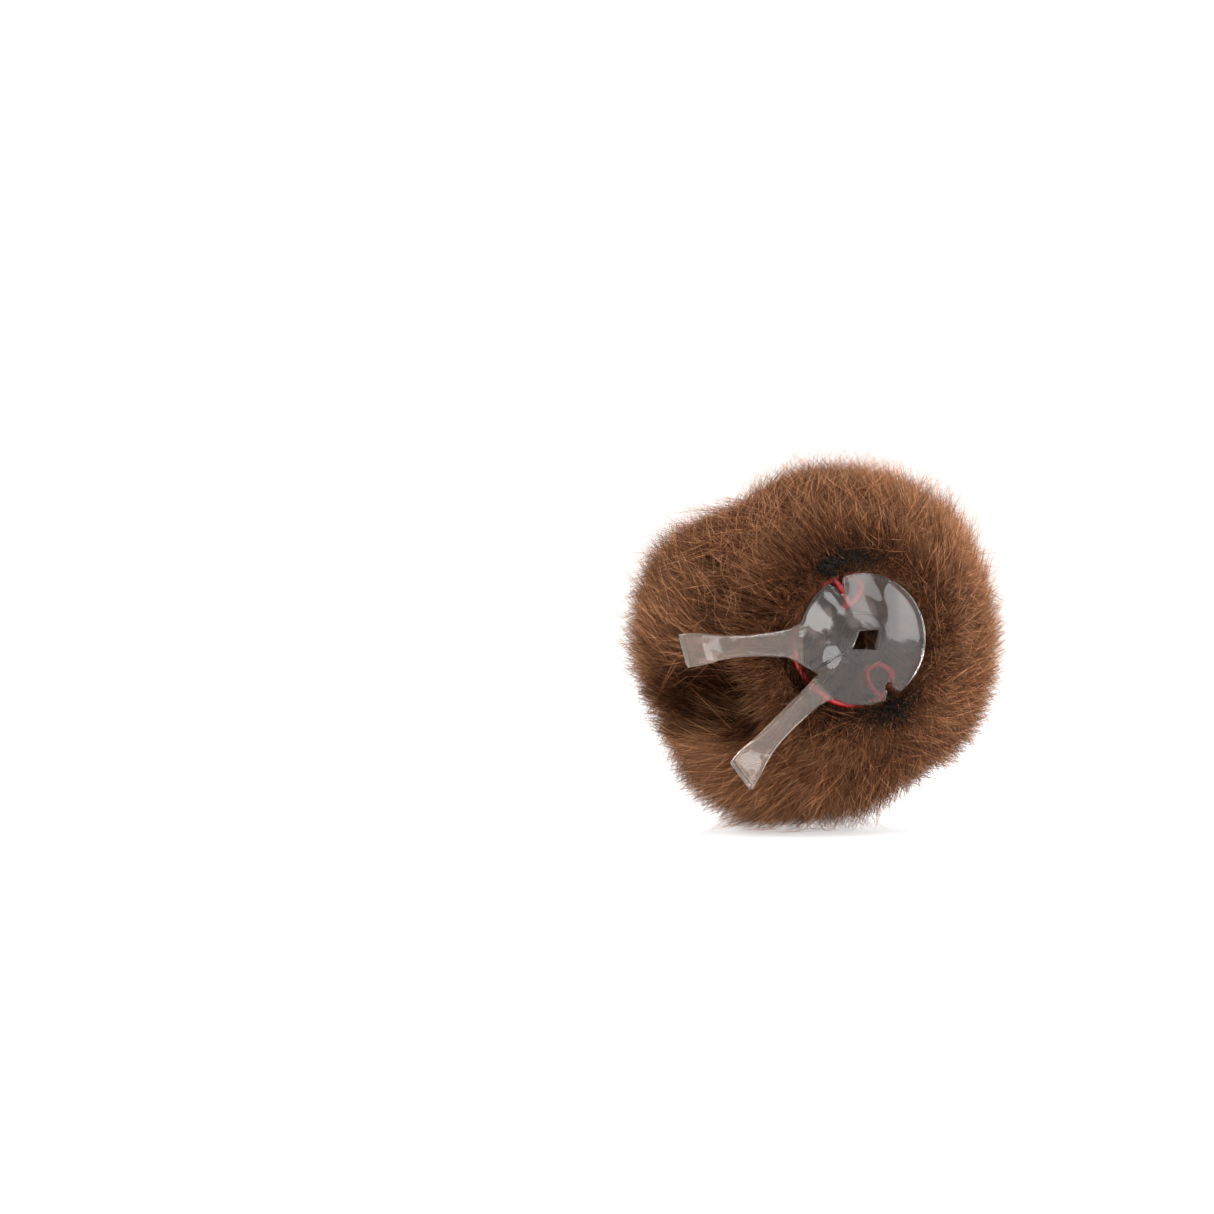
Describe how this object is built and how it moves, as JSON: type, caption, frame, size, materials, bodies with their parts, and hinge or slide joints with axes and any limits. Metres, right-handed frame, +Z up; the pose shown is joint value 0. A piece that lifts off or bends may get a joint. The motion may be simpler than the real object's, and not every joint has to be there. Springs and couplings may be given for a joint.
{
  "type": "lavalier microphone fur windshield",
  "caption": "Ball-shaped fur windshield for a lavalier microphone, with an elastic mouth and a clear silicone mount whose two legs flex.",
  "frame": {"origin": "on the axis of the mount's capsule seat, in the plane of the silicone disc's rim", "axes": "+Y along the capsule seat's axis into the fur ball, so the mouth looks along -Y; +Z up; the part lies on a pressed-flat patch of pile"},
  "size_m": [0.0444, 0.0373, 0.0432],
  "materials": {
    "fur": "matte",
    "knit": "matte",
    "thread": "matte",
    "elastic": "gloss",
    "silicone": "gloss"
  },
  "bodies": {
    "fur": {"fur_left": "fur", "fur_right": "fur", "backing_left": "knit", "backing_right": "knit", "hem_left": "knit", "hem_right": "knit", "seam_stitches": "thread", "mouth_cord": "elastic", "tack_upper": "thread", "tack_lower": "thread"},
    "mount": {"mount": "silicone"},
    "leg_left": {"leg_left": "silicone"},
    "leg_lower": {"leg_lower": "silicone"}
  },
  "joints": [
    {"name": "mount_pull", "type": "slide", "parent": "fur", "child": "mount", "axis": [0, -1, 0], "range_m": [0, 0.03]},
    {"name": "leg_left_flex", "type": "hinge", "parent": "mount", "child": "leg_left", "pos_m": [-0.00814, 0, -0.00036], "axis": [-0.0436, 0, 0.999], "range_deg": [-8, 75], "stiffness_Nm_per_rad": 0.0002},
    {"name": "leg_lower_flex", "type": "hinge", "parent": "mount", "child": "leg_lower", "pos_m": [-0.00571, 0, -0.00581], "axis": [-0.7132, 0, 0.7009], "range_deg": [-8, 75], "stiffness_Nm_per_rad": 0.0002}
  ]
}
